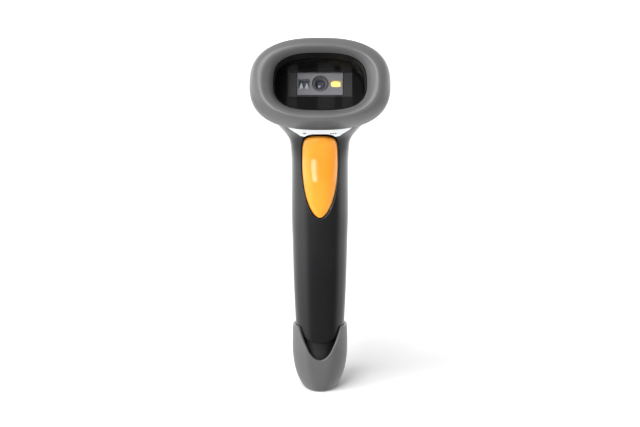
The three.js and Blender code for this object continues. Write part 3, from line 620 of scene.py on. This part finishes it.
# ---------- materials ----------
def coordinates(nodes, links, scale):
    """Texture coordinates on the object itself, so that a pattern stays put as the piece moves."""
    where = nodes.new("ShaderNodeTexCoord")
    mapping = nodes.new("ShaderNodeMapping")
    mapping.inputs["Scale"].default_value = scale
    links.new(where.outputs["Object"], mapping.inputs["Vector"])
    return mapping.outputs["Vector"]


def noise(nodes, links, scale, detail=3.0, stretch=(1, 1, 1)):
    texture = nodes.new("ShaderNodeTexNoise")
    texture.inputs["Scale"].default_value = scale
    texture.inputs["Detail"].default_value = detail
    links.new(coordinates(nodes, links, stretch), texture.inputs["Vector"])
    return texture.outputs["Fac"]


def spread(nodes, links, value, low, high):
    """Maps a noise value from its usual 0.3 to 0.7 onto a range."""
    mapped = nodes.new("ShaderNodeMapRange")
    mapped.inputs["From Min"].default_value = 0.3
    mapped.inputs["From Max"].default_value = 0.7
    mapped.inputs["To Min"].default_value = low
    mapped.inputs["To Max"].default_value = high
    links.new(value, mapped.inputs["Value"])
    return mapped.outputs["Result"]


def tinted(nodes, links, value, dark, light):
    """A colour between two, chosen by a noise value."""
    mix = nodes.new("ShaderNodeMix")
    mix.data_type = "RGBA"
    mix.inputs["A"].default_value = (*dark, 1)
    mix.inputs["B"].default_value = (*light, 1)
    links.new(spread(nodes, links, value, 0, 1), mix.inputs["Factor"])
    return mix.outputs["Result"]


def surface(name, dark, light, rough, patch=60, grain=0, grain_height=0.0, stretch=(1, 1, 1), **settings):
    """A material whose colour and roughness vary in patches, with a fine grain in its relief."""
    material = bpy.data.materials.new(name)
    material.use_nodes = True
    nodes, links = material.node_tree.nodes, material.node_tree.links
    shader = nodes["Principled BSDF"]
    patches = noise(nodes, links, patch, 4, stretch)
    links.new(tinted(nodes, links, patches, dark, light), shader.inputs["Base Color"])
    worn = noise(nodes, links, patch * 3, 5, stretch)
    links.new(spread(nodes, links, worn, *rough), shader.inputs["Roughness"])
    if grain:
        relief = nodes.new("ShaderNodeBump")
        relief.inputs["Strength"].default_value = 1.0
        relief.inputs["Distance"].default_value = grain_height
        links.new(noise(nodes, links, grain, 2, stretch), relief.inputs["Height"])
        links.new(relief.outputs["Normal"], shader.inputs["Normal"])
    for socket, value in settings.items():
        shader.inputs[socket.replace("_", " ")].default_value = value
    return material


def see_through(name, tint, gloss_rough=0.02, facing=1.5):
    """A thin clear pane: it tints what is behind it and mirrors what is in front of it."""
    material = bpy.data.materials.new(name)
    material.use_nodes = True
    nodes, links = material.node_tree.nodes, material.node_tree.links
    nodes.remove(nodes["Principled BSDF"])
    through = nodes.new("ShaderNodeBsdfTransparent")
    through.inputs["Color"].default_value = (*tint, 1)
    mirror = nodes.new("ShaderNodeBsdfGlossy")
    mirror.inputs["Roughness"].default_value = gloss_rough
    fresnel = nodes.new("ShaderNodeFresnel")
    fresnel.inputs["IOR"].default_value = facing
    mix = nodes.new("ShaderNodeMixShader")
    links.new(fresnel.outputs["Fac"], mix.inputs["Fac"])
    links.new(through.outputs["BSDF"], mix.inputs[1])
    links.new(mirror.outputs["BSDF"], mix.inputs[2])
    links.new(mix.outputs["Shader"], nodes["Material Output"].inputs["Surface"])
    return material


gloss_black = surface("gloss_black_plastic", (0.012, 0.012, 0.013), (0.016, 0.016, 0.017), (0.17, 0.2),
                      patch=25, grain=2600, grain_height=0.000004)
rubber = surface("grey_rubber", (0.105, 0.105, 0.107), (0.12, 0.12, 0.122), (0.32, 0.38),
                 patch=40, grain=3000, grain_height=0.00001)
matte_black = surface("matte_black_plastic", (0.012, 0.012, 0.012), (0.02, 0.02, 0.02), (0.45, 0.6),
                      patch=80, grain=2500, grain_height=0.00001)
# near black: the window frame's own colour, and on the recess liner partly painted shade for the darkness
# deep in the recess
black_and_painted_shade = surface("black_plastic_and_painted_shade", (0.003, 0.003, 0.003), (0.006, 0.006, 0.006), (0.55, 0.7),
                     patch=80, grain=2500, grain_height=0.00001, Specular_IOR_Level=0.2)
bracket_grey = surface("bracket_grey", (0.05, 0.05, 0.05), (0.07, 0.07, 0.07), (0.5, 0.6),
                       patch=120, grain=2500, grain_height=0.00001)
orange = surface("orange_plastic", (0.97, 0.34, 0.03), (1.0, 0.38, 0.035), (0.14, 0.18),
                 patch=50, grain=2600, grain_height=0.000004,
                 Subsurface_Weight=0.15, Subsurface_Scale=0.003)
label_white = surface("label_film", (0.88, 0.9, 0.91), (0.91, 0.93, 0.94), (0.4, 0.5),
                      patch=200, grain=4000, grain_height=0.000006)
print_grey = surface("label_print", (0.05, 0.05, 0.05), (0.07, 0.07, 0.07), (0.4, 0.5), patch=200)
engine_grey = surface("engine_grey_metal", (0.42, 0.42, 0.43), (0.52, 0.52, 0.53), (0.4, 0.5),
                      patch=150, grain=3500, grain_height=0.000008)
barrel_grey = surface("barrel_grey", (0.2, 0.2, 0.205), (0.26, 0.26, 0.265), (0.35, 0.45),
                      patch=300, grain=3500, grain_height=0.000008)
chip_black = surface("moulded_chip", (0.014, 0.014, 0.014), (0.026, 0.026, 0.026), (0.5, 0.65),
                     patch=300, grain=5000, grain_height=0.000008)
board_green = surface("solder_mask", (0.01, 0.075, 0.03), (0.016, 0.11, 0.045), (0.25, 0.35), patch=120)
steel = surface("plated_steel", (0.5, 0.51, 0.53), (0.62, 0.63, 0.65), (0.22, 0.34), patch=200,
                grain=3000, grain_height=0.000004, Metallic=1.0)
sleeve_blue = surface("shrink_film", (0.02, 0.12, 0.32), (0.03, 0.16, 0.4), (0.25, 0.35), patch=60)
wire_red = surface("red_wire", (0.4, 0.02, 0.02), (0.5, 0.03, 0.03), (0.4, 0.5), patch=200)
foam = surface("black_foam", (0.01, 0.01, 0.01), (0.02, 0.02, 0.02), (0.85, 0.95), patch=400,
               grain=2500, grain_height=0.0001)
copper_film = surface("flat_cable_film", (0.4, 0.2, 0.05), (0.5, 0.27, 0.07), (0.3, 0.4), patch=300,
                      stretch=(8, 1, 1))
led_yellow = surface("light_phosphor", (0.9, 0.62, 0.1), (1.0, 0.75, 0.2), (0.3, 0.4), patch=400,
                     Emission_Color=(1.0, 0.78, 0.26, 1), Emission_Strength=1.25)
# painted glints: white cones that glow faintly, standing in for glints of light in the aiming lens
painted_glint_white = surface("painted_aimer_glints", (0.85, 0.85, 0.85), (0.9, 0.9, 0.9), (0.2, 0.3), patch=400,
                      Emission_Color=(1.0, 1.0, 1.0, 1), Emission_Strength=0.35)
window_tint = see_through("tinted_window", (0.93, 0.93, 0.94))
clear = see_through("clear_plastic", (0.85, 0.87, 0.9), 0.08)
# painted reflection: the lens's mid purple-grey base colour stands in for the light its coated glass mirrors;
# the clear coat gives its gloss
lens_painted_reflection = surface("coated_lens_painted_reflection", (0.13, 0.13, 0.17), (0.17, 0.17, 0.23), (0.1, 0.14), patch=300,
                    Coat_Weight=1.0, Coat_Roughness=0.02)


# ---------- pieces ----------
def finish_piece(piece, material, body, nodes):
    piece.data.materials.clear()
    piece.data.materials.append(material)
    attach(piece, body)
    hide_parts(*nodes)
    return piece


def grow_box(nodes, margin=3.0):
    """The box round some CAD nodes in millimetres, even across x, with room for the skin's grid."""
    lows, highs = zip(*[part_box(n) for n in nodes])
    low = np.min([np.array(p) for p in lows], 0) * 1000 - margin
    high = np.max([np.array(p) for p in highs], 0) * 1000 + margin
    reach = max(high[0], -low[0])
    low[0], high[0] = -reach, reach
    return low, high


def build_shells():
    """The two halves of the housing and the lip that closes the seam between them."""
    box = grow_box(["front_shell", "rear_shell"])
    box[0][1] -= 3  # more room ahead, where the front edge is trimmed
    front = skin("front_shell_moulding", body_field, box, 0.75, front_shell_cut, WALL)
    finish_piece(front, gloss_black, "handset", ["front_shell"])
    rear = skin("rear_shell_moulding", body_field, box, 0.75, rear_shell_cut, WALL)
    finish_piece(rear, gloss_black, "handset", ["rear_shell"])
    lip = skin("seam_lip", body_field, box, 0.75, lip_cut, 0.7, 0.1, -1.0)
    finish_piece(lip, gloss_black, "handset", [])


def build_screw_wells():
    """Stepped tubes for the housing screws, which end just inside the grip's rear surface."""
    a = np.linspace(0, 2 * math.pi, 72, endpoint=False)
    seat, floor, shank = 8.6, 2, 1.4
    beyond = 99  # past the surface, where the rings are trimmed to it
    inner = [(SCREW_WELL, beyond), (SCREW_WELL, seat), (shank, seat), (shank, floor)]
    outer = [(SCREW_WELL + 0.2, floor), (SCREW_WELL + 0.2, beyond)]
    for side, sign in (("left", -1), ("right", 1)):
        rings = []
        for radius, along in inner + outer:
            x = sign * SCREW_AT[0] + radius * np.cos(a)
            z = SCREW_AT[1] + radius * np.sin(a)
            y = np.minimum(along, rear_surface(x, z) - 0.4)
            rings.append(np.column_stack([x, y, z]))
        well = loft(f"screw_well_{side}", rings, GRIP, closed=True)
        finish_piece(well, gloss_black, "handset", [])


def build_label():
    box = grow_box(["rating_label"])
    label = skin("rating_label_film", body_field, box, 0.5, label_cut, 0.12, 0.06, 0.14)
    finish_piece(label, label_white, "handset", ["rating_label"])
    box = grow_box(["rating_label"], 1)
    marks = skin("rating_label_print", body_field, box, 0.35, print_cut, 0.03, 0.05, 0.16)
    finish_piece(marks, print_grey, "handset", [])


def build_status_lens():
    def inside(points):
        return lens_cut(points) - GAP

    box = grow_box(["status_lens"], 4)
    lens = skin("status_lens_cap", body_field, box, 0.4, inside, 1.6, 0.2, -0.05)
    finish_piece(lens, clear, "handset", ["status_lens"])


def build_bumper():
    """The rubber ring: a smooth outline from its rear edge over the front lip, then straight back."""
    rings = [
        (BUMPER_REAR, 31.9, 19.6, 18.6, 2.5), (BUMPER_REAR + 0.1, 32.6, 20.6, 19.2, 2.5),
        (-27.6, 33.4, 21.8, 20, 2.5), (-32, 34.1, 23, 20.6, 2.5), (-37, 34.2, 23.4, 20.9, 2.5),
        (-40.5, 33.8, 23, 20.8, 2.5), (-43.5, 32.5, 21.5, 20.4, 2.5), (-45.4, 30.8, 19.4, 19.9, 2.5),
        (-46.2, 28.9, 17.8, 19, 2.5), (-46.1, 27.2, 16.7, 17.9, 2.52), (-45.2, 25.5, 16, 16.6, 2.6),
        (-43.7, 24, 15.4, 15.2, 2.7), (-41.6, 22.8, 15, 14, 2.85), (-39.8, 22.3, 14.9, 13.6, 2.9),
        (-38.5, 22.5, 15, 13.8, 2.9), (-34.7, 22.6, 15, 14.2, 2.9),
    ]
    columns = [profile(list(enumerate(column))) for column in zip(*rings)]
    steps = np.linspace(0, len(rings) - 1, 90)
    smooth = [[column(step) for column in columns] for step in steps]
    smooth += [(-34.7, 31.3, 18.4, 18.2, 2.5), (BUMPER_REAR, 31.2, 18.6, 18.2, 2.5)]
    bumper = loft("bumper_ring", [head_ring(*ring, 200) for ring in smooth], HEAD, closed=True)
    finish_piece(bumper, rubber, "handset", ["front_bumper"])


def build_recess_shade_liner():
    """A near-black sleeve that lines the recess in front of the window: partly a dark part, partly painted
    shade for the recess's darkness.
    """
    rings = [
        (-34.5, 23.4, 15.6, 14.8), (-41.2, 22.6, 15.2, 14), (-41.4, 22.3, 14.9, 13.7),
        (-41.2, 22, 14.6, 13.4), (-34.5, 22, 14.4, 13.6),
    ]
    liner = loft("recess_shade_liner", [head_ring(*ring, 2.9, 120) for ring in rings], HEAD, closed=True)
    finish_piece(liner, black_and_painted_shade, "handset", [])


def build_foot():
    """The rubber foot, the end cap inside it and the cover over the charging port."""
    foot = skin("foot_rubber", foot_field, grow_box(["foot_boot"], 2), 0.42, foot_cut, 1.25, 0.5)
    finish_piece(foot, rubber, "handset", ["foot_boot"])
    cap = skin("end_cap_moulding", cap_field, grow_box(["end_cap"], 3), 0.5, cap_cut, 1.5, 0.3)
    finish_piece(cap, matte_black, "handset", ["end_cap"])
    flap = rounded_block("port_cover", (-6.3, 17.2, 14.2), (6.3, 18.95, 22.1), GRIP, 0.45)
    finish_piece(flap, rubber, "flap", ["port_flap"])
    tab = rounded_block("port_cover_tab", (-3, 18.6, 20.7), (3, 19.6, 22.1), GRIP, 0.3)
    finish_piece(tab, rubber, "flap", [])


def build_trigger():
    box = grow_box(["trigger"], 1.5)
    trigger = skin("trigger_moulding", trigger_field, box, 0.36, trigger_cut, 1.4, 0.2)
    finish_piece(trigger, orange, "trigger", ["trigger"])
    trigger.visible_diffuse = False  # keeps its orange off the label and the bumper
    trigger.visible_glossy = False


def build_spring():
    """The trigger's return spring, which in the scanner shortens as the trigger is pressed; here a fixed
    coil.
    """
    turns, radius, wire = 5, 1.95, 0.25
    front, rear = -18.2, -12.4
    b = np.linspace(0, 2 * math.pi, 10, endpoint=False)
    rings = []
    for t in np.linspace(0, 1, turns * 16 + 1):
        a = 2 * math.pi * turns * t
        out = radius + wire * np.cos(b)
        along = front + (rear - front) * t + wire * np.sin(b)
        rings.append(np.column_stack([out * math.cos(a), along, SPRING_Z + out * math.sin(a)]))
    spring = loft("trigger_spring_coil", rings, GRIP)
    finish_piece(spring, steel, "handset", ["trigger_spring"])
    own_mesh(spring)


def build_camera_optics():
    """The scan engine's camera: a stepped barrel and its domed lens."""
    centre = (0.2, ENGINE_Z - 0.1)
    barrel = [
        (3.8, -11.4), (3.8, -18.9), (3.5, -19.2), (3.1, -19.2),
        (3.1, -18.4), (2.5, -18), (2.2, -15.2), (2.2, -11.4),
    ]
    piece = turned_piece("camera_barrel_turned", barrel, HEAD, "y", centre)
    finish_piece(piece, barrel_grey, "handset", ["camera_barrel"])
    radius, dome_centre = 3.7, -12.9
    arc = np.linspace(math.pi / 5, 0.01, 10)
    dome = [(radius * math.sin(a), dome_centre - radius * math.cos(a)) for a in arc]
    piece = turned_piece("camera_lens_turned", [(0.01, -15.2), (2.15, -15.2)] + dome, HEAD, "y", centre)
    finish_piece(piece, lens_painted_reflection, "handset", ["camera_lens"])


def build_painted_aimer_glints():
    """Two small glowing cones inside the aiming lens: painted glints."""
    x, y, z = to_local(middle_of("aimer_lens"), HEAD)
    outline = [(1.1, z - 1.9), (0.9, z - 1.2), (0.45, z + 0.4), (0.1, z + 1.2)]
    for side, across in (("left", -1.4), ("right", 1.4)):
        # painted glints, one each side
        glint_cone = turned_piece(f"aimer_painted_glint_{side}", outline, HEAD, "z", (x + across, y))
        finish_piece(glint_cone, painted_glint_white, "handset", [])


SCREWS = [
    f"{kind}_screw_{side}"
    for kind in ("engine", "board", "carrier", "housing")
    for side in ("left", "right")
]
CARRIED_OVER = {
    window_tint: ["scan_window"],
    clear: ["aimer_lens"],
    led_yellow: ["light_lens"],
    foam: ["window_gasket"],
    black_and_painted_shade: ["window_frame"],
    bracket_grey: ["engine_bracket"],
    matte_black: ["switch_carrier", "battery_cradle"],
    engine_grey: ["engine_plate", "engine_housing"],
    board_green: ["engine_board", "main_board", "trigger_board", "charge_board"],
    chip_black: ["processor_chip", "sounder", "trigger_switch", "battery_lead_black", "charge_cable"],
    label_white: ["switch_plunger"],
    copper_film: ["engine_cable"],
    sleeve_blue: ["battery_cell"],
    wire_red: ["battery_lead_red"],
    steel: ["radio_module", "trigger_pin", "end_cap_screw", "usb_socket", *SCREWS],
}


def dress_frame():
    """Gives every CAD node that stays its material."""
    for material, names in CARRIED_OVER.items():
        for name in names:
            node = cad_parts[name]
            node.data.materials.clear()
            node.data.materials.append(material)


# ---------- studio ----------
def build_stage():
    """A white floor that reaches the horizon."""
    edge = 9000
    corners = [(-edge, -edge, 0), (edge, -edge, 0), (edge, edge, 0), (-edge, edge, 0)]
    floor = make("white_floor", corners, [(0, 1, 2, 3)])
    paper = surface("white_paper", (0.95, 0.95, 0.95), (0.96, 0.96, 0.96), (0.85, 0.9), patch=3)
    floor.data.materials.append(paper)
    floor.visible_glossy = False  # the studio in front of the scanner stays dark in its gloss


AIM = Vector((0, 0, 0.1))  # what the lamps point at, in metres


def polar(azimuth, rise, away):
    """A place round AIM: degrees to the right of the camera, degrees up, and metres away."""
    azimuth, rise = math.radians(azimuth), math.radians(rise)
    flat = away * math.cos(rise)
    return Vector((flat * math.sin(azimuth), -flat * math.cos(azimuth), AIM.z + away * math.sin(rise)))


def aimed(name, light, at):
    """Adds a lamp at a place, pointing at AIM."""
    lamp = bpy.data.objects.new(name, light)
    lamp.location = at
    lamp.rotation_euler = (AIM - at).to_track_quat("-Z", "Y").to_euler()
    bpy.context.collection.objects.link(lamp)


def soft_box(name, at, width, height, brightness):
    """A rectangular lamp of the given radiance."""
    light = bpy.data.lights.new(name, "AREA")
    light.shape = "RECTANGLE"
    light.size = width
    light.size_y = height
    light.energy = brightness * math.pi * width * height
    aimed(name, light, at)


def build_lamps():
    """A wide key high on the front left, a soft box low on that side, and three weak strips."""
    key = bpy.data.lights.new("key", "SUN")
    key.energy = 2.2
    key.angle = math.radians(48)
    aimed("key", key, polar(-42, 50, 1.5))
    soft_box("left_box", polar(-20, 19, 0.9), 0.36, 0.38, 9)
    for across, width in ((-0.036, 0.013), (0.008, 0.021), (0.035, 0.014)):
        soft_box("strip", polar(0, 37, 1.0) + Vector((across, 0, 0)), width, 0.3, 0.2)


def combined(nodes, links, operation, first, second):
    """Two values joined by an operation."""
    joined = nodes.new("ShaderNodeMath")
    joined.operation = operation
    links.new(first, joined.inputs[0])
    links.new(second, joined.inputs[1])
    return joined.outputs["Value"]


def fade(nodes, links, direction, axis, span, brightness):
    """A soft change of brightness along an axis of the studio."""
    along = nodes.new("ShaderNodeVectorMath")
    along.operation = "DOT_PRODUCT"
    along.inputs[1].default_value = axis
    mapped = nodes.new("ShaderNodeMapRange")
    mapped.interpolation_type = "SMOOTHSTEP"
    mapped.inputs["From Min"].default_value = span[0]
    mapped.inputs["From Max"].default_value = span[1]
    mapped.inputs["To Min"].default_value = brightness[0]
    mapped.inputs["To Max"].default_value = brightness[1]
    links.new(direction, along.inputs[0])
    links.new(along.outputs["Value"], mapped.inputs["Value"])
    return mapped.outputs["Result"]


def build_world():
    """A background that is white to the camera, and dark in front of the scanner for its gloss."""
    world = bpy.data.worlds.new("studio")
    bpy.context.scene.world = world
    world.use_nodes = True
    nodes, links = world.node_tree.nodes, world.node_tree.links
    direction = nodes.new("ShaderNodeTexCoord").outputs["Generated"]
    behind = fade(nodes, links, direction, (-0.3, 0.954, 0), (-0.75, -0.05), (0.04, 1))
    high = fade(nodes, links, direction, (0, 0, 1), (0.05, 0.55), (2, 0.75))
    low = fade(nodes, links, direction, (0, 0, 1), (-0.25, 0.02), (0.4, 1))
    seen = nodes.new("ShaderNodeLightPath").outputs["Is Camera Ray"]
    strength = combined(nodes, links, "MULTIPLY", behind, high)
    strength = combined(nodes, links, "MULTIPLY", strength, low)
    strength = combined(nodes, links, "MAXIMUM", strength, seen)
    links.new(strength, nodes["Background"].inputs["Strength"])
    nodes["Background"].inputs["Color"].default_value = (1, 1, 1, 1)


def build_camera():
    """A long lens that looks down by nine degrees at the middle of the scanner."""
    away, rise, aim = 0.620, math.radians(9), 0.0912
    data = bpy.data.cameras.new("camera")
    data.lens = 67.5
    data.sensor_width = 36
    camera = bpy.data.objects.new("camera", data)
    base = GRIP[1][1] / 1000
    camera.location = (0, base - away * math.cos(rise), aim + away * math.sin(rise))
    camera.rotation_euler = (math.pi / 2 - rise, 0, 0)
    bpy.context.collection.objects.link(camera)
    bpy.context.scene.camera = camera
    bpy.context.scene.view_settings.view_transform = "Standard"


build_camera()
build_stage()
build_lamps()
build_world()
dress_frame()
build_shells()
build_screw_wells()
build_label()
build_status_lens()
build_bumper()
build_recess_shade_liner()
build_foot()
build_trigger()
build_spring()
build_camera_optics()
build_painted_aimer_glints()
